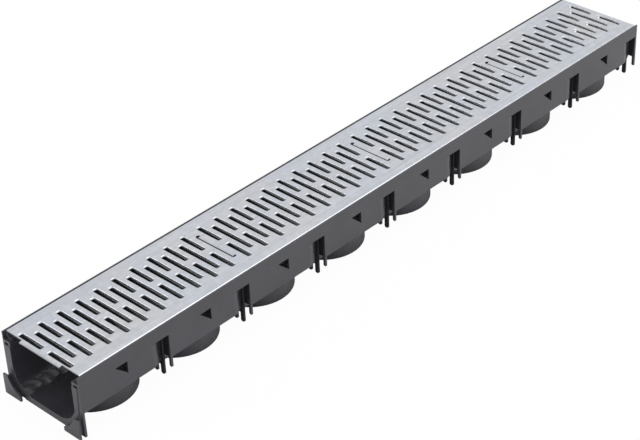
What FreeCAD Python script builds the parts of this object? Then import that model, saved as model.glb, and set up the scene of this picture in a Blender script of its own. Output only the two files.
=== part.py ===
import FreeCAD, Part
import math
import os

from FreeCAD import Vector

# A one metre surface drain: a moulded plastic channel with a stamped steel grating laid in its rim.
# Sizes are in millimetres. X runs along the channel, Y across it and Z upwards from the ground.
# The socket end, with the coupling plates, lies towards -X.

# Channel: overall
body_length = 1000.0
body_width = 125.0
body_height = 80.0
module_count = 8
first_module = 4.6
last_module = 5.8

# Channel: rim and seat of the grating, measured down from the top
rim_width = 1.6
seat_depth = 10.0
ledge_thickness = 2.5

# Channel: trough, its floor above the ground, and the depth of the hollow walls beside it
wall_depth = 12.0
floor_height = 8.0
trough_corner_radius = 30.0
trough_wall = 2.5

# Channel: outer skirt
skirt_thickness = 2.5
skirt_drop = 48.7
band_drop = 17.5
roof_thickness = 2.5

# Channel: recess in the skirt before each cutting line, as deep as the wall of the trough
recess_length = 26.5
recess_radius = 22.0

# Channel: cutting ribs and their legs
rib_thickness = 3.0
rib_leg_depth = 3.5
rib_leg_drop = 61.9
plate_thickness = 2.5
plate_offset = 7.0
plate_inset = 6.5
plate_reach = 16.5
plate_foot_gap = 7.8
notch_inset = 5.6
notch_width = 5.3
notch_drop = 60.0
leg_chamfer = 1.2

# Channel: triangular pockets in the middle of each module
pocket_length = 17.0
pocket_height = 15.5
pocket_shift = 0.5

# Channel: round pipe stubs under each module
stub_diameter = 100.0
stub_wall = 2.5

# Channel: socket end
flange_thickness = 3.0
tongue_reach = 0.8
tongue_lip = 6.5
tongue_top_drop = 15.8
tongue_top_slope = 0.7
tongue_inset_top = 3.2
tongue_inset_low = 5.9
coupling_offset = 7.0
coupling_thickness = 2.5
coupling_width = 26.5
coupling_top_drop = 53.5
coupling_gap = 6.0
spacer_inset = 3.0
window_inset = 3.0
window_width = 6.0
window_drop = 12.8
window_height = 3.0

# Grating: sheet and folds
sheet_thickness = 1.5
grating_length = 992.0
grating_setback = 4.5
side_gap = 0.4
bend_radius = 0.8
lip_width = 8.0

# Grating: slots, whose round ends are cut as a few flats
short_row_count = 38
first_row = 5.3
last_row = 9.2
slot_width = 6.2
short_slot_length = 36.6
long_slot_length = 63.4
short_slot_centre = 24.1
slot_end_flats = 4

# Grating: pressed tongues in every tenth long slot, and the pressed front edge
tongue_every = 10
press_drop = 0.8
press_gap = 1.8
press_end_gap = 3.4
front_tab_length = 66.0
front_tab_root = 1.0

# Worked out from the sizes above
near_x = (coupling_offset - body_length) / 2
far_x = near_x + body_length
module_length = (body_length - first_module - last_module) / module_count
grating_x = near_x + grating_setback
half_width = body_width / 2
trough_width = body_width - 2 * wall_depth
half_trough = trough_width / 2
trough_face = half_trough + trough_wall
trough_joint = half_trough + trough_wall / 2
floor_z = floor_height
skirt_z = body_height - skirt_drop
ledge_top = body_height - seat_depth
ledge_low = ledge_top - ledge_thickness
corner_y = half_trough - trough_corner_radius
corner_z = floor_z + trough_corner_radius

# Cutting shapes run past the faces they cut by the overlap; edges are picked within the tiny distance
overlap = 1.0
tiny = 1e-6


def block(x0, x1, y0, y1, z0, z1):
    """A block between two corners."""
    return Part.makeBox(x1 - x0, y1 - y0, z1 - z0, Vector(x0, y0, z0))


def prism(corners, direction):
    """A solid with a flat outline of straight edges, drawn out along a direction."""
    wire = Part.makePolygon(corners + [corners[0]])
    return Part.Face(wire).extrude(direction)


def across(x, outline):
    """Points of an outline given as y and z, on the plane across the channel at x."""
    return [Vector(x, y, z) for y, z in outline]


def both_sides(shape):
    """The shape and its mirror image across the middle of the channel."""
    return [shape, shape.mirror(Vector(0, 0, 0), Vector(0, 1, 0))]


def moved(shape, x):
    """A copy of the shape, moved along the channel."""
    copy = shape.copy()
    copy.translate(Vector(x, 0, 0))
    return copy


def joined(shapes):
    """All the shapes as one solid, with no seams left in its flat faces."""
    return shapes[0].multiFuse(shapes[1:]).removeSplitter()


def trough_form(x0, x1, grow, top):
    """A trough with round lower corners, solid, larger all round by grow than the inside."""
    side = half_trough + grow
    low = floor_z - grow
    radius = trough_corner_radius + grow
    dip = radius * math.sin(math.radians(45))
    left_low = Vector(x0, -corner_y, low)
    right_low = Vector(x0, corner_y, low)
    left_arc = Part.Arc(Vector(x0, -side, corner_z), Vector(x0, -corner_y - dip, corner_z - dip), left_low)
    right_arc = Part.Arc(right_low, Vector(x0, corner_y + dip, corner_z - dip), Vector(x0, side, corner_z))
    edges = [
        Part.makeLine(Vector(x0, -side, top), Vector(x0, -side, corner_z)),
        left_arc.toShape(),
        Part.makeLine(left_low, right_low),
        right_arc.toShape(),
        Part.makeLine(Vector(x0, side, corner_z), Vector(x0, side, top)),
        Part.makeLine(Vector(x0, side, top), Vector(x0, -side, top)),
    ]
    return Part.Face(Part.Wire(edges)).extrude(Vector(x1 - x0, 0, 0))


def channel_hollow():
    """All that is open inside the channel: the trough, and the room for the grating between the rims."""
    x0 = near_x - coupling_offset - overlap
    x1 = far_x + overlap
    room_side = half_width - rim_width
    top = body_height + overlap
    return [trough_form(x0, x1, 0, top), block(x0, x1, -room_side, room_side, ledge_top, top)]


def running_section():
    """The rims, ledges, skirts and trough wall, which run from end to end."""
    upper = block(near_x, far_x, -half_width, half_width, ledge_low, body_height)
    skirt = block(near_x, far_x, -half_width, skirt_thickness - half_width, skirt_z, body_height)
    return [upper, trough_form(near_x, far_x, trough_wall, ledge_top)] + both_sides(skirt)


def recess_drum(x_end, radius):
    """The upright drum that the skirt follows as it sweeps inwards before a cutting line."""
    base = Vector(x_end - recess_length, recess_radius - half_width, 0)
    return Part.makeCylinder(radius, body_height, base)


def recess_space(x_end):
    """What the recess takes out of the skirt: open below, closed by the band above."""
    x_start = x_end - recess_length
    space = block(x_start, x_end, -half_width - overlap, -trough_face, 0, body_height - band_drop)
    return space.cut(recess_drum(x_end, recess_radius))


def recess_wall(x_end):
    """The swept wall and the roof of one recess, whose back is the wall of the trough."""
    x_start = x_end - recess_length
    roof_z = body_height - band_drop
    tube = recess_drum(x_end, recess_radius).cut(recess_drum(x_end, recess_radius - skirt_thickness))
    swept = tube.common(block(x_start, x_end, -half_width, -trough_joint, skirt_z, roof_z))
    roof = block(x_start, x_end, -half_width, -trough_joint, roof_z, roof_z + roof_thickness)
    return [swept, roof]


def cutting_rib(x_end):
    """The rib that closes the skirt against the trough at a cutting line, with its narrow leg."""
    x0 = x_end - rib_thickness
    web = block(x0, x_end, -half_width, -trough_joint, skirt_z, ledge_low)
    leg_y = rib_leg_depth - half_width
    leg = block(x0, x_end, -half_width, leg_y, body_height - rib_leg_drop, skirt_z)
    corner = Vector(x_end - rib_thickness / 2, leg_y, body_height - rib_leg_drop)
    inner_low = [edge for edge in leg.Edges if edge.CenterOfMass.distanceToPoint(corner) < tiny]
    return [web, leg.makeChamfer(leg_chamfer, inner_low)]


def leg_plate(x_end):
    """The cross plate before a cutting line, from the roof of the recess to its wide and inner legs."""
    x0 = x_end - plate_offset
    outer = plate_inset - half_width
    inner = outer + plate_reach
    notch = outer + notch_inset
    low = plate_foot_gap
    plate = block(x0, x0 + plate_thickness, outer, inner, low, body_height - band_drop)
    gap = block(x0, x0 + plate_thickness, notch, notch + notch_width, low, body_height - notch_drop)
    plate = plate.cut(gap)
    low_edges = [edge for edge in plate.Edges if abs(edge.CenterOfMass.z - low) < tiny]
    tips = [edge for edge in low_edges if abs(edge.CenterOfMass.x - x0 - plate_thickness / 2) < tiny
            and abs(edge.Length - plate_thickness) < tiny]
    return plate.makeChamfer(leg_chamfer, tips)


def pocket(x_middle):
    """The triangular pocket through the skirt in the middle of a module."""
    x1 = x_middle + pocket_shift
    top = body_height - band_drop
    y = -half_width - overlap
    corners = [Vector(x1 - pocket_length, y, top), Vector(x1, y, top), Vector(x1, y, top - pocket_height)]
    return prism(corners, Vector(0, skirt_thickness + overlap, 0))


def pipe_stub(x_middle):
    """The round stub below a module, where a drain pipe can be joined after the floor is cut out."""
    radius = stub_diameter / 2
    base = Vector(x_middle, 0, 0)
    return Part.makeCylinder(radius, corner_z, base).cut(Part.makeCylinder(radius - stub_wall, corner_z, base))


def coupling_plate():
    """One of the two plates that stand out from the socket end, hollowed to the trough's corner."""
    x0 = near_x - coupling_offset
    edge_radius = trough_corner_radius + coupling_gap
    plate = block(x0, x0 + coupling_thickness, -half_width, coupling_width - half_width,
                  0, body_height - coupling_top_drop)
    clear = Part.makeCylinder(edge_radius, coupling_thickness, Vector(x0, -corner_y, corner_z), Vector(1, 0, 0))
    return plate.cut(clear)


def coupling_spacer():
    """The block behind a coupling plate that ties it to the end flange, set in from its edges."""
    x0 = near_x - coupling_offset + coupling_thickness
    depth = near_x - x0
    edge_radius = trough_corner_radius + coupling_gap + spacer_inset
    web = block(x0, near_x, spacer_inset - half_width, coupling_width - spacer_inset - half_width,
                spacer_inset, body_height - coupling_top_drop - spacer_inset)
    clear = Part.makeCylinder(edge_radius, depth, Vector(x0, -corner_y, corner_z), Vector(1, 0, 0))
    return web.cut(clear)


def flange_window():
    """The small window in the flange below a ledge, open to the hollow of the wall behind it."""
    y0 = window_inset - half_width
    z1 = body_height - window_drop
    return block(near_x - overlap, near_x + flange_thickness + overlap,
                 y0, y0 + window_width, z1 - window_height, z1)


def socket_end():
    """The flange, the raised tongue round the trough's mouth and the coupling plates."""
    flange = block(near_x, near_x + flange_thickness, -half_width, half_width, 0, ledge_top)
    flange = flange.cut(both_sides(flange_window()))
    x0 = near_x - tongue_reach
    side_top = body_height - tongue_top_drop
    side_low = body_height - coupling_top_drop
    side = prism(across(x0, [
        (tongue_inset_top - half_width, side_top),
        (-half_trough, side_top - tongue_top_slope),
        (-half_trough, side_low),
        (tongue_inset_low - half_width, side_low),
    ]), Vector(tongue_reach, 0, 0))
    mouth = trough_form(x0, near_x, tongue_lip, ledge_top)
    lip = mouth.common(block(x0, near_x, -half_width, half_width, 0, side_low))
    sill_side = half_width - coupling_width
    sill = block(x0, near_x, -sill_side, sill_side, 0, floor_z)
    shapes = [flange, lip, sill]
    for shape in (side, coupling_plate(), coupling_spacer()):
        shapes += both_sides(shape)
    return shapes


def channel_body():
    """The whole channel, moulded in one piece."""
    base = joined(running_section() + socket_end())
    removed = []
    added = []
    for index in range(module_count):
        cutting_line = near_x + first_module + module_length * (index + 1)
        x_middle = cutting_line - module_length / 2
        rib_end = cutting_line + rib_thickness / 2 if index < module_count - 1 else far_x
        recess_end = rib_end - rib_thickness
        removed += both_sides(recess_space(recess_end))
        removed += both_sides(pocket(x_middle))
        added.append(pipe_stub(x_middle))
        for shape in recess_wall(recess_end) + cutting_rib(rib_end) + [leg_plate(cutting_line)]:
            added += both_sides(shape)
    shell = joined([base.cut(removed)] + added)
    return shell.cut(channel_hollow()).removeSplitter()


def folded_sheet(x0, x1):
    """The sheet of the grating before it is pierced: a flat top, two sides and two lips turned in."""
    side = half_width - rim_width - side_gap
    inner_side = side - sheet_thickness
    inner_top = body_height - sheet_thickness
    lip_top = ledge_top + sheet_thickness
    sheet = block(x0, x1, -side, side, ledge_top, body_height)
    sheet = sheet.cut(block(x0, x1, -inner_side, inner_side, lip_top, inner_top))
    lip_end = side - lip_width
    sheet = sheet.cut(block(x0, x1, -lip_end, lip_end, ledge_top, lip_top))
    outer_bends = []
    inner_bends = []
    for edge in sheet.Edges:
        if abs(edge.Length - (x1 - x0)) > tiny:
            continue
        if abs(abs(edge.CenterOfMass.y) - side) < tiny:
            outer_bends.append(edge)
    sheet = sheet.makeFillet(bend_radius + sheet_thickness, outer_bends)
    inner_bends = [edge for edge in sheet.Edges if abs(edge.Length - (x1 - x0)) < tiny
                   and abs(abs(edge.CenterOfMass.y) - inner_side) < tiny]
    return sheet.makeFillet(bend_radius, inner_bends)


def slot_cutter(length):
    """A slot with rounded ends, at the middle of the sheet, to be moved to its place."""
    radius = slot_width / 2
    straight = (length - slot_width) / 2
    z = body_height - sheet_thickness - overlap
    corners = []
    for end in (1, -1):
        for step in range(slot_end_flats + 1):
            turn = math.pi * step / slot_end_flats
            corners.append(Vector(end * radius * math.cos(turn), end * (straight + radius * math.sin(turn)), z))
    return prism(corners, Vector(0, 0, sheet_thickness + 2 * overlap))


def pressed_tongue():
    """The strip pressed down in a long slot, still joined to the sheet along its far edge."""
    radius = slot_width / 2
    reach = long_slot_length / 2 - press_end_gap
    low = body_height - sheet_thickness
    corners = [
        Vector(radius, -reach, body_height),
        Vector(radius, -reach, low),
        Vector(press_gap - radius, -reach, low - press_drop),
        Vector(press_gap - radius, -reach, body_height - press_drop),
    ]
    return prism(corners, Vector(0, 2 * reach, 0))


def front_tab():
    """The pressed edge over the width of a long slot, which reaches to the socket end of the channel."""
    reach = front_tab_length / 2
    low = body_height - sheet_thickness
    corners = [
        Vector(grating_x + front_tab_root, -reach, body_height),
        Vector(near_x, -reach, body_height - press_drop),
        Vector(near_x, -reach, low - press_drop),
        Vector(grating_x + front_tab_root, -reach, low),
    ]
    return prism(corners, Vector(0, 2 * reach, 0))


def grating():
    """The stamped grating: rows of two short slots, with a long slot between each row and the next."""
    sheet = folded_sheet(grating_x, grating_x + grating_length)
    pitch = (grating_length - first_row - last_row) / (short_row_count - 1)
    short = slot_cutter(short_slot_length)
    long = slot_cutter(long_slot_length)
    tongue = pressed_tongue()
    slots = []
    tongues = []
    for row in range(short_row_count):
        x = grating_x + first_row + pitch * row
        for y in (-short_slot_centre, short_slot_centre):
            slot = short.copy()
            slot.translate(Vector(x, y, 0))
            slots.append(slot)
    for row in range(1, short_row_count):
        x = grating_x + first_row + pitch * (row - 0.5)
        slots.append(moved(long, x))
        if row % tongue_every == 0:
            tongues.append(moved(tongue, x))
    return joined([sheet.cut(slots), front_tab()] + tongues)


os.makedirs("parts", exist_ok=True)
for name, shape in (("channel_body", channel_body()), ("grating", grating())):
    print(name, shape.isValid(), len(shape.Solids), "solids", round(shape.Volume / 1000, 1), "cm3")
    shape.exportStep("parts/" + name + ".step")
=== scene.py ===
import math

import bpy
import bmesh
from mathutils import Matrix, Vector


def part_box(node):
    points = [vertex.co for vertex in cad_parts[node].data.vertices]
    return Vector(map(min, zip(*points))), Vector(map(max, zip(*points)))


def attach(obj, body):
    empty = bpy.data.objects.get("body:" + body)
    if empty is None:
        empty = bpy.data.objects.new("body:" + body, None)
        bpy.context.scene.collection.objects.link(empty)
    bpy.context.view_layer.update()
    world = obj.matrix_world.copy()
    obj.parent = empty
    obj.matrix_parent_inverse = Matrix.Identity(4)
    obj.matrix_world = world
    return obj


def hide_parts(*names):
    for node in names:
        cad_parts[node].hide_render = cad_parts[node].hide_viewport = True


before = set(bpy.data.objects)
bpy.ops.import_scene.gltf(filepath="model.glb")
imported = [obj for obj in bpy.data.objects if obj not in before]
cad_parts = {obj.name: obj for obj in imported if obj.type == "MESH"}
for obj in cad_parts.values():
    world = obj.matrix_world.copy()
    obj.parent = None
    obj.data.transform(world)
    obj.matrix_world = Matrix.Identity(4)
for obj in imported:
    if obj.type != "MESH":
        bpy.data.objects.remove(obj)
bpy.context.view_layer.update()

# Channel: one piece of black polypropylene, with its skirts, ribs, legs, pipe stubs and coupling
# plates. It is injection-moulded, so its edges carry the small radius of the mould and its faces
# a fine grain, with faint waves over the ribs and a glossy trough. The recesses carry painted
# shade: a darker, less reflective finish.
mould_radius = 0.0003
mould_radius_steps = 2
sharp_edge_angle = math.radians(35)
weld_distance = 0.00001


def finish_modifier(piece, name, kind, **settings):
    """Adds a modifier with its settings to the active piece and applies it."""
    modifier = piece.modifiers.new(name, kind)
    for setting, value in settings.items():
        setattr(modifier, setting, value)
    bpy.ops.object.modifier_apply(modifier=name)


def smooth_faces(piece):
    """Shades the active piece smooth up to its sharp edges, and keeps its large faces flat."""
    bpy.ops.object.shade_smooth_by_angle(angle=sharp_edge_angle)
    finish_modifier(piece, "face_normals", "WEIGHTED_NORMAL", keep_sharp=True)


bpy.ops.object.select_all(action="DESELECT")
channel = bpy.data.objects.new("channel_shell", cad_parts["channel_body"].data.copy())
channel.data.name = "channel_shell"
bpy.context.scene.collection.objects.link(channel)
bpy.context.view_layer.objects.active = channel
channel.select_set(True)
bpy.ops.object.mode_set(mode="EDIT")
bpy.ops.mesh.select_all(action="SELECT")
bpy.ops.mesh.remove_doubles(threshold=weld_distance)
bpy.ops.object.mode_set(mode="OBJECT")
finish_modifier(channel, "mould_radius", "BEVEL", width=mould_radius, segments=mould_radius_steps,
                limit_method="ANGLE", angle_limit=sharp_edge_angle, use_clamp_overlap=False)

# A sharp corner can be bevelled outwards, so each point is held within the solid's own box.
body_low, body_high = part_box("channel_body")
for vertex in channel.data.vertices:
    for axis in range(3):
        vertex.co[axis] = min(max(vertex.co[axis], body_low[axis]), body_high[axis])
smooth_faces(channel)

# The plastic: satin, with lighter worn patches and two depths of relief.
plastic_colour = (0.045, 0.043, 0.052, 1.0)
plastic_worn_colour = (0.078, 0.075, 0.088, 1.0)
plastic_ior = 1.55
plastic_shine = 0.5
wear_scale = 14.0
wear_most = 0.55
satin_scale = 18.0
satin_low = 0.24
satin_high = 0.36
grain_scale = 1400.0
grain_detail = 2.0
grain_strength = 0.12
grain_depth = 0.0002
wave_scale = 24.0
wave_detail = 1.0
wave_strength = 0.14
wave_depth = 0.0008

# The inside of the trough, which is glossier because the core of the tool is polished.
trough_half_width = 0.0515
trough_low = 0.0070
trough_roughness = 0.13

# The recess before each cutting line, and a little past it, where the plastic is painted darker and
# less reflective, as painted shade.
first_line = -0.4919
module_length = 0.1237
recess_before_line = 0.0275
recess_past_line = 0.0040
recess_half_width = 0.0590
recess_top = 0.0630
recess_near = -0.4850
recess_shade_colour = (0.027, 0.026, 0.031, 1.0)
recess_shade_worn_colour = (0.031, 0.030, 0.035, 1.0)
recess_shade_shine = 0.18

# The patchiness: how rough its noise is, and the part of the noise's range that is used.
patch_roughness = 0.55
noise_low = 0.3
noise_high = 0.7


def feed(tree, node, sources):
    """Gives each socket named a link where its source is an output, or else a plain value."""
    for socket, source in sources.items():
        if isinstance(source, bpy.types.NodeSocket):
            tree.links.new(source, node.inputs[socket])
        else:
            node.inputs[socket].default_value = source


def new_node(tree, kind, sources, **settings):
    """A node in a material, world or group, with its settings and with its sockets fed."""
    node = tree.nodes.new(kind)
    for setting, value in settings.items():
        setattr(node, setting, value)
    feed(tree, node, sources)
    return node


def maths(tree, operation, *terms):
    """The outcome of a Math node for the terms given."""
    node = new_node(tree, "ShaderNodeMath", dict(enumerate(terms)), operation=operation)
    return node.outputs["Value"]


def ranged(tree, value, low, high, new_low, new_high):
    """A value carried over from one range to another, and held within it."""
    node = new_node(tree, "ShaderNodeMapRange", {
        "Value": value, "From Min": low, "From Max": high, "To Min": new_low, "To Max": new_high})
    return node.outputs["Result"]


def mixed(tree, first, second, share=1.0, blend_type="MIX"):
    """Two colours mixed by a share, or the first one shaded by the second."""
    node = new_node(tree, "ShaderNodeMix", {"A": first, "B": second, "Factor": share},
                    data_type="RGBA", blend_type=blend_type)
    return node.outputs["Result"]


def build_patchiness():
    """A group that puts out a soft patchy value between a low and a high one."""
    group = bpy.data.node_groups.new("patchiness", "ShaderNodeTree")
    sockets = group.interface
    sockets.new_socket("Place", in_out="INPUT", socket_type="NodeSocketVector")
    for name in ("Scale", "Detail", "Low", "High"):
        sockets.new_socket(name, in_out="INPUT", socket_type="NodeSocketFloat")
    sockets.new_socket("Value", in_out="OUTPUT", socket_type="NodeSocketFloat")
    given = new_node(group, "NodeGroupInput", {}).outputs
    noise = new_node(group, "ShaderNodeTexNoise", {
        "Vector": given["Place"], "Scale": given["Scale"], "Detail": given["Detail"],
        "Roughness": patch_roughness})
    value = ranged(group, noise.outputs["Fac"], noise_low, noise_high,
                   given["Low"], given["High"])
    new_node(group, "NodeGroupOutput", {"Value": value})
    return group


patchiness = build_patchiness()


def patches(tree, place, scale, low=0.0, high=1.0, detail=4.0):
    """The patchiness group in a material, with its own scale and range."""
    node = new_node(tree, "ShaderNodeGroup", {
        "Place": place, "Scale": scale, "Detail": detail, "Low": low, "High": high},
        node_tree=patchiness)
    return node.outputs["Value"]


def new_finish(name):
    """A material with only its output and a Principled BSDF."""
    material = bpy.data.materials.new(name)
    material.use_nodes = True
    tree = material.node_tree
    return material, tree, tree.nodes["Principled BSDF"]


def object_place(tree):
    """The place on the object, for the patterns of a material."""
    return new_node(tree, "ShaderNodeTexCoord", {}).outputs["Object"]


def beside_middle(tree, axes, half_width):
    """A mask that is 1 within a half width of the channel's middle."""
    across = maths(tree, "ABSOLUTE", axes["Y"])
    return maths(tree, "LESS_THAN", across, half_width)


def moulded_plastic(name, main_colour, worn_colour, shine):
    """Black polypropylene: worn in patches, grained and faintly waved, and glossy in the trough.
    Its colours and shine are given; for the recesses they are a painted shade.
    """
    material, tree, shader = new_finish(name)
    place = object_place(tree)
    axes = new_node(tree, "ShaderNodeSeparateXYZ", {"Vector": place}).outputs
    between_walls = beside_middle(tree, axes, trough_half_width)
    above_floor = maths(tree, "GREATER_THAN", axes["Z"], trough_low)
    in_trough = maths(tree, "MULTIPLY", between_walls, above_floor)
    wear = patches(tree, place, wear_scale, high=wear_most)
    satin = patches(tree, place, satin_scale, satin_low, satin_high)
    grain = new_node(tree, "ShaderNodeTexNoise", {
        "Vector": place, "Scale": grain_scale, "Detail": grain_detail})
    grained = new_node(tree, "ShaderNodeBump", {
        "Height": grain.outputs["Fac"], "Strength": grain_strength, "Distance": grain_depth})
    waved = new_node(tree, "ShaderNodeBump", {
        "Height": patches(tree, place, wave_scale, detail=wave_detail),
        "Strength": wave_strength, "Distance": wave_depth, "Normal": grained.outputs["Normal"]})
    feed(tree, shader, {
        "Base Color": mixed(tree, main_colour, worn_colour, wear),
        "Roughness": ranged(tree, in_trough, 0.0, 1.0, satin, trough_roughness),
        "Normal": waved.outputs["Normal"],
        "IOR": plastic_ior,
        "Specular IOR Level": shine})
    return material


channel.data.materials.clear()
channel.data.materials.append(
    moulded_plastic("moulded_plastic", plastic_colour, plastic_worn_colour, plastic_shine))
channel.data.materials.append(
    moulded_plastic("recess_painted_shade", recess_shade_colour, recess_shade_worn_colour, recess_shade_shine))
# Painted shade: faces in the recess before each cutting line take the darker, less reflective
# second finish.
for face in channel.data.polygons:
    beside_trough = trough_half_width < abs(face.center.y) < recess_half_width
    past_line = (face.center.x - first_line) % module_length
    at_line = past_line < recess_past_line or past_line > module_length - recess_before_line
    low_enough = face.center.z < recess_top
    face.material_index = int(
        beside_trough and at_line and low_enough and face.center.x > recess_near)
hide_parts("channel_body")
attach(channel, "root")

# Grating: one sheet of galvanised steel, 1.5 mm thick, pierced in rows, folded down at both sides
# and turned in to two lips that rest on the channel's ledges. The punch draws each slot's rim down
# into a tapered collar. A tongue in every tenth long slot and a tab at the near edge are pressed.
sheet_thickness = 0.0015
bend_radius = 0.0017
bend_steps = 4
lip_width = 0.008
tab_reach = 0.0045
tab_length = 0.066
short_rows = 38
first_row = 0.0053
last_row = 0.0092
short_slot_centre = 0.0241

# The collars: the rim in the top of the sheet, then how far the punch draws it down and inwards.
rim_points = 20
rim_half_width = 0.0043
rim_half_end = 0.0049
short_rim_length = 0.0400
long_rim_length = 0.0668
rim_squareness = 0.6
rim_radius = 0.0010
rim_steps = 4
collar_angle = math.radians(81)
collar_depth = 0.0027
collar_end_depth = 0.0013
collar_end_length = 0.0025
collar_end_share = 0.5

# The tongues, which hang a little below the top of the sheet, as the tab does.
tongue_every = 10
tongue_slot_half_width = 0.0031
tongue_slot_length = 0.0634
tongue_length = 0.0566
tongue_width = 0.0037
press_drop = 0.0008

grating_low, grating_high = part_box("grating")
sheet_near = grating_low.x + tab_reach
sheet_far = grating_high.x
sheet_side = grating_high.y
sheet_top = grating_high.z
sheet_low = grating_low.z
row_pitch = (sheet_far - sheet_near - first_row - last_row) / (short_rows - 1)


def meets(value, level):
    """Whether a coordinate lies at a level."""
    return abs(value - level) < weld_distance


def select_edges(piece, test):
    """Selects the open edges of the active piece, in edit mode, whose ends both pass the test."""
    bpy.ops.mesh.select_all(action="DESELECT")
    bpy.ops.mesh.select_mode(type="EDGE")
    mesh = bmesh.from_edit_mesh(piece.data)
    for edge in mesh.edges:
        edge.select = len(edge.link_faces) < 2 and all(test(vertex.co) for vertex in edge.verts)
    bmesh.update_edit_mesh(piece.data)


def mark_corners(piece, test, half_length):
    """Gives a straight edge of the active piece two corners, a half length from its middle."""
    bpy.ops.object.mode_set(mode="EDIT")
    select_edges(piece, test)
    bpy.ops.mesh.subdivide(number_cuts=2)
    mesh = bmesh.from_edit_mesh(piece.data)
    mesh.verts.ensure_lookup_table()
    for corner in mesh.verts[-2:]:
        corner.co.y = math.copysign(half_length, corner.co.y)
    bmesh.update_edit_mesh(piece.data)
    bpy.ops.object.mode_set(mode="OBJECT")


def slot_ring(name, half_width, squareness):
    """A ring of edges in the top of the sheet, for the two ends of a slot.

    It is round where its squareness is 1, and the squarer the nearer that comes to 0.
    """
    bpy.ops.object.select_all(action="DESELECT")
    bpy.ops.mesh.primitive_circle_add(
        vertices=rim_points, radius=half_width, fill_type="NOTHING",
        location=(0, 0, sheet_top), rotation=(0, 0, math.pi / rim_points))
    ring = bpy.context.object
    ring.name = name
    bpy.ops.object.transform_apply(location=True, rotation=True, scale=True)
    for vertex in ring.data.vertices:
        for axis in range(2):
            share = abs(vertex.co[axis]) / half_width
            vertex.co[axis] = math.copysign(half_width * share ** squareness, vertex.co[axis])
    return ring


def drawn_apart(slot, distance):
    """The two ends of a slot moved apart, so that straight sides join them."""
    for vertex in slot.data.vertices:
        vertex.co.y += math.copysign(distance / 2, vertex.co.y)
    return slot


def collar_rings():
    """How far inwards and how far down each ring of a collar lies, from the rim to its edge."""
    rings = []
    for step in range(1, rim_steps + 1):
        turn = collar_angle * step / rim_steps
        rings.append((rim_radius * math.sin(turn), rim_radius * (1 - math.cos(turn))))
    inset, depth = rings[-1]
    rings.append((inset + (collar_depth - depth) / math.tan(collar_angle), collar_depth))
    return rings


def pressed_slot(name, length):
    """The rim and collar of a slot, drawn down from the sheet's top as rings of faces."""
    slot = slot_ring(name, rim_half_width, rim_squareness)
    rings = collar_rings()
    whole_inset = rings[-1][0]
    end_stretch = (rim_half_end - rim_half_width + whole_inset) / whole_inset
    bpy.ops.object.mode_set(mode="EDIT")
    bpy.ops.mesh.select_all(action="SELECT")
    bpy.ops.transform.resize(value=(1, rim_half_end / rim_half_width, 1))
    across, along, depth = rim_half_width, rim_half_end, 0.0
    for inset, next_depth in rings:
        next_across = rim_half_width - inset
        next_along = rim_half_end - end_stretch * inset
        bpy.ops.mesh.extrude_edges_move(
            TRANSFORM_OT_translate={"value": (0, 0, depth - next_depth)})
        bpy.ops.transform.resize(value=(next_across / across, next_along / along, 1))
        across, along, depth = next_across, next_along, next_depth
    bpy.ops.object.mode_set(mode="OBJECT")

    # The collar is shallower at the slot's ends. Known fault: the shift along the slot carries the
    # points beside an end past the middle, so drawn_apart takes them to the other end, and the
    # long faces of the collar's sides cross.
    for vertex in slot.data.vertices:
        if vertex.co.z < sheet_top - collar_depth + weld_distance:
            share = abs(vertex.co.y) / along
            vertex.co.z += (collar_depth - collar_end_depth) * share
            if share < collar_end_share:
                vertex.co.y -= math.copysign(collar_end_length, vertex.co.y)
    return drawn_apart(slot, length - 2 * rim_half_end)


def copied_to(pattern, x, y):
    """A copy of a slot, with its own mesh, moved to its place in the sheet."""
    copy = bpy.data.objects.new(pattern.name, pattern.data.copy())
    bpy.context.scene.collection.objects.link(copy)
    for vertex in copy.data.vertices:
        vertex.co.x += x
        vertex.co.y += y
    return copy


short_slot = pressed_slot("short_slot", short_rim_length)
long_slot = pressed_slot("long_slot", long_rim_length)
tongue_slot = slot_ring("tongue_slot", tongue_slot_half_width, squareness=1)
drawn_apart(tongue_slot, tongue_slot_length - 2 * tongue_slot_half_width)
tongue_root = max(vertex.co.x for vertex in tongue_slot.data.vertices)
mark_corners(tongue_slot, lambda co: meets(co.x, tongue_root), tongue_length / 2)

# The short slots stand in rows of two, with a long slot between each row and the next.
slots = []
tongue_rows = []
for row in range(short_rows):
    row_x = sheet_near + first_row + row_pitch * row
    slots.append(copied_to(short_slot, row_x, -short_slot_centre))
    slots.append(copied_to(short_slot, row_x, short_slot_centre))
    between_x = row_x - row_pitch / 2
    if row > 0 and row % tongue_every == 0:
        slots.append(copied_to(tongue_slot, between_x, 0))
        tongue_rows.append(between_x)
    elif row > 0:
        slots.append(copied_to(long_slot, between_x, 0))
for pattern in (short_slot, long_slot, tongue_slot):
    bpy.data.objects.remove(pattern)

# The outline of the sheet's flat top, filled in round the slots.
flat_side = sheet_side - bend_radius
bpy.ops.object.select_all(action="DESELECT")
bpy.ops.mesh.primitive_plane_add(size=1, location=((sheet_near + sheet_far) / 2, 0, sheet_top))
grating = bpy.context.object
grating.name = "grating_sheet"
grating.scale = (sheet_far - sheet_near, 2 * flat_side, 1)
bpy.ops.object.transform_apply(location=True, rotation=True, scale=True)
bpy.ops.object.mode_set(mode="EDIT")
bpy.ops.mesh.select_all(action="SELECT")
bpy.ops.mesh.delete(type="ONLY_FACE")
bpy.ops.object.mode_set(mode="OBJECT")
mark_corners(grating, lambda co: meets(co.x, sheet_near), tab_length / 2)
for slot in slots:
    slot.select_set(True)
bpy.ops.object.join()
bpy.ops.object.mode_set(mode="EDIT")
select_edges(grating, lambda co: meets(co.z, sheet_top))
bpy.ops.mesh.fill(use_beauty=True)

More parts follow.
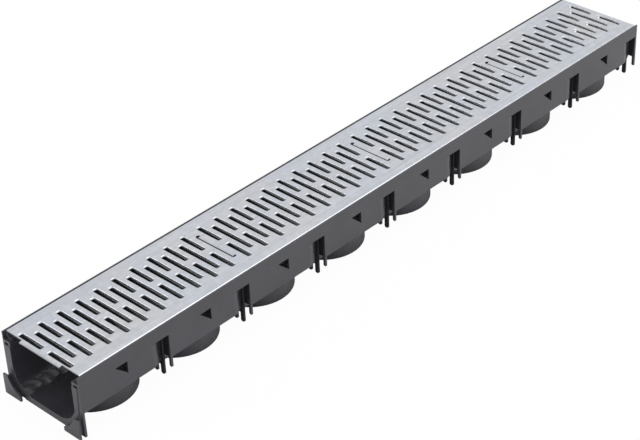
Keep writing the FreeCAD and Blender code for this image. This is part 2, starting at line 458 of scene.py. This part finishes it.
# The tab and the tongues, pressed from straight edges, then the two folded sides with their lips.
pressed_edges = [(sheet_near, tab_length / 2, tab_reach)]
for row_x in tongue_rows:
    pressed_edges.append((row_x + tongue_root, tongue_length / 2, tongue_width))
for edge_x, half_length, reach in pressed_edges:
    edge_end = half_length + weld_distance
    select_edges(grating, lambda co: meets(co.x, edge_x) and abs(co.y) < edge_end)
    bpy.ops.mesh.extrude_edges_move(TRANSFORM_OT_translate={"value": (-reach, 0, -press_drop)})
web = sheet_top - sheet_low - 2 * bend_radius
lip = lip_width - bend_radius
turns = [math.pi / 2 * step / bend_steps for step in range(bend_steps + 1)]
for side in (-1, 1):
    bend = [(side * bend_radius * (math.sin(after) - math.sin(before)),
             bend_radius * (math.cos(after) - math.cos(before)))
            for before, after in zip(turns, turns[1:])]
    lower_bend = [(-side * abs(dz), -abs(dy)) for dy, dz in bend]
    select_edges(grating, lambda co: meets(co.y, side * flat_side))
    for dy, dz in bend + [(0, -web)] + lower_bend + [(-side * lip, 0)]:
        bpy.ops.mesh.extrude_edges_move(TRANSFORM_OT_translate={"value": (0, dy, dz)})

# The faces of the sheet's top are turned upwards, because the sheet gets its thickness below them.
bpy.ops.mesh.select_all(action="SELECT")
bpy.ops.mesh.normals_make_consistent(inside=False)
bpy.ops.object.mode_set(mode="OBJECT")
top_faces = [face for face in grating.data.polygons if face.center.z > sheet_top - weld_distance]
if sum(face.normal.z * face.area for face in top_faces) < 0:
    grating.data.flip_normals()

# The zinc: cooler and warmer patches, spangle with a faint ripple, and marks of the rolls.
zinc_cool_colour = (0.555, 0.585, 0.640, 1.0)
zinc_warm_colour = (0.590, 0.598, 0.620, 1.0)
zinc_patch_scale = 14.0
zinc_patch_detail = 2.0
zinc_roughness_scale = 90.0
zinc_roughness_low = 0.27
zinc_roughness_high = 0.38
spangle_scale = 160.0
spangle_share = 0.10
ripple_strength = 0.06
ripple_depth = 0.0006
rolling_stretch = (6.0, 260.0, 1.0)
rolling_low = 0.88
rolling_high = 1.04

# Painted shade down the collars: the zinc's colour darkens from one depth below the top to another.
collar_shade_start_depth = 0.0003
collar_shade_full_depth = 0.0026
collar_shade_darkest = 0.03
collar_shade_half_width = 0.0460

# The cut edges, which carry no zinc.
cut_dark_colour = (0.16, 0.16, 0.17, 1.0)
cut_light_colour = (0.34, 0.33, 0.33, 1.0)
cut_colour_scale = 600.0
cut_colour_detail = 2.0
cut_roughness_scale = 300.0
cut_roughness_low = 0.50
cut_roughness_high = 0.70


def galvanised_steel():
    """Zinc-coated sheet: bright, patched, spangled and rolled, with painted shade darkening it down
    each collar.
    """
    material, tree, shader = new_finish("galvanised_steel")
    place = object_place(tree)
    axes = new_node(tree, "ShaderNodeSeparateXYZ", {"Vector": place}).outputs
    tint = mixed(tree, zinc_cool_colour, zinc_warm_colour,
                 patches(tree, place, zinc_patch_scale, detail=zinc_patch_detail))
    spangle = new_node(tree, "ShaderNodeTexVoronoi", {"Vector": place, "Scale": spangle_scale})
    grey = new_node(tree, "ShaderNodeRGBToBW", {"Color": spangle.outputs["Color"]})
    spangled = mixed(tree, tint, grey.outputs["Val"], spangle_share, blend_type="MULTIPLY")
    along = new_node(tree, "ShaderNodeMapping", {"Vector": place, "Scale": rolling_stretch})
    marks = patches(tree, along.outputs["Vector"], scale=1.0, low=rolling_low, high=rolling_high)
    rolled = mixed(tree, spangled, marks, blend_type="MULTIPLY")
    # Painted shade: the colour darkens with depth down each collar, within a half width of the
    # middle.
    collar_shade = ranged(tree, axes["Z"], sheet_top - collar_shade_full_depth, sheet_top - collar_shade_start_depth,
                   collar_shade_darkest, 1.0)
    ripple = new_node(tree, "ShaderNodeBump", {
        "Height": spangle.outputs["Distance"], "Strength": ripple_strength,
        "Distance": ripple_depth})
    feed(tree, shader, {
        "Base Color": mixed(tree, rolled, collar_shade, beside_middle(tree, axes, collar_shade_half_width),
                            blend_type="MULTIPLY"),
        "Metallic": 1.0,
        "Roughness": patches(tree, place, zinc_roughness_scale,
                             zinc_roughness_low, zinc_roughness_high),
        "Normal": ripple.outputs["Normal"]})
    return material


def cut_steel():
    """The cut edges of the sheet: dull, dark and streaked from the shear."""
    material, tree, shader = new_finish("cut_steel")
    place = object_place(tree)
    feed(tree, shader, {
        "Base Color": mixed(tree, cut_dark_colour, cut_light_colour,
                            patches(tree, place, cut_colour_scale, detail=cut_colour_detail)),
        "Metallic": 1.0,
        "Roughness": patches(tree, place, cut_roughness_scale,
                             cut_roughness_low, cut_roughness_high)})
    return material


grating.data.materials.clear()
grating.data.materials.append(galvanised_steel())
grating.data.materials.append(cut_steel())
finish_modifier(grating, "sheet", "SOLIDIFY", thickness=sheet_thickness, offset=-1,
                use_even_offset=True, material_offset_rim=1)
smooth_faces(grating)
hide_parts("grating")
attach(grating, "root")

# Studio: a plain pale floor under the channel, an even white room, a large soft lamp overhead and
# a small one beyond the socket end. The floor and the room show white to the camera, and the floor
# keeps a trace of the channel's shadow.
white = (1.0, 1.0, 1.0, 1.0)
floor_size = 30.0
floor_drop = 0.0002
floor_colour = (0.92, 0.92, 0.92, 1.0)
floor_roughness = 0.9
floor_white_share = 0.97
room_light = 0.62
room_white = 1.0
bpy.ops.object.select_all(action="DESELECT")
bpy.ops.mesh.primitive_plane_add(size=floor_size, location=(0, 0, -floor_drop))
floor = bpy.context.object
floor.name = "floor"
floor_finish, floor_tree, floor_shader = new_finish("floor_paper")
feed(floor_tree, floor_shader, {"Base Color": floor_colour, "Roughness": floor_roughness})
floor_rays = new_node(floor_tree, "ShaderNodeLightPath", {}).outputs
floor_white = new_node(floor_tree, "ShaderNodeEmission", {"Color": white, "Strength": 1.0})
floor_mix = new_node(floor_tree, "ShaderNodeMixShader", {
    0: maths(floor_tree, "MULTIPLY", floor_rays["Is Camera Ray"], floor_white_share),
    1: floor_shader.outputs["BSDF"],
    2: floor_white.outputs["Emission"]})
feed(floor_tree, floor_tree.nodes["Material Output"], {"Surface": floor_mix.outputs["Shader"]})
floor.data.materials.append(floor_finish)

room = bpy.data.worlds.new("room")
bpy.context.scene.world = room
room.use_nodes = True
room_tree = room.node_tree
room_rays = new_node(room_tree, "ShaderNodeLightPath", {}).outputs
room_seen = maths(room_tree, "MAXIMUM", room_rays["Is Camera Ray"], room_rays["Is Glossy Ray"])
feed(room_tree, room_tree.nodes["Background"], {
    "Color": white, "Strength": ranged(room_tree, room_seen, 0.0, 1.0, room_light, room_white)})


def soft_lamp(name, place, aim, size, watts):
    """A square area lamp at a place, turned towards an aim."""
    lamp = bpy.data.lights.new(name, "AREA")
    lamp.size = size
    lamp.energy = watts
    stand = bpy.data.objects.new(name, lamp)
    stand.location = place
    stand.rotation_euler = (Vector(aim) - Vector(place)).to_track_quat("-Z", "Y").to_euler()
    bpy.context.scene.collection.objects.link(stand)


soft_lamp("overhead", place=(0.8, -0.4, 2.2), aim=(0, 0, 0), size=2.2, watts=29.0)
soft_lamp("side", place=(-1.25, 0.75, 0.42), aim=(-0.45, 0, 0.05), size=0.6, watts=3.0)

# Camera: a long lens, high in front of the socket end and turned a little about its own axis. Its
# place, turn and length were fitted to the corners and edges of the channel in the photograph.
camera_place = (-1.37642, -1.28201, 1.26058)
camera_turn = (56.05779, 2.04981, -47.04075)
lens_length = 102.871
film_width = 36
far_limit = 100
lens = bpy.data.cameras.new("camera")
lens.sensor_width = film_width
lens.lens = lens_length
lens.clip_end = far_limit
camera = bpy.data.objects.new("camera", lens)
camera.location = camera_place
camera.rotation_euler = [math.radians(angle) for angle in camera_turn]
bpy.context.scene.collection.objects.link(camera)
bpy.context.scene.camera = camera
bpy.context.scene.view_settings.view_transform = "Standard"
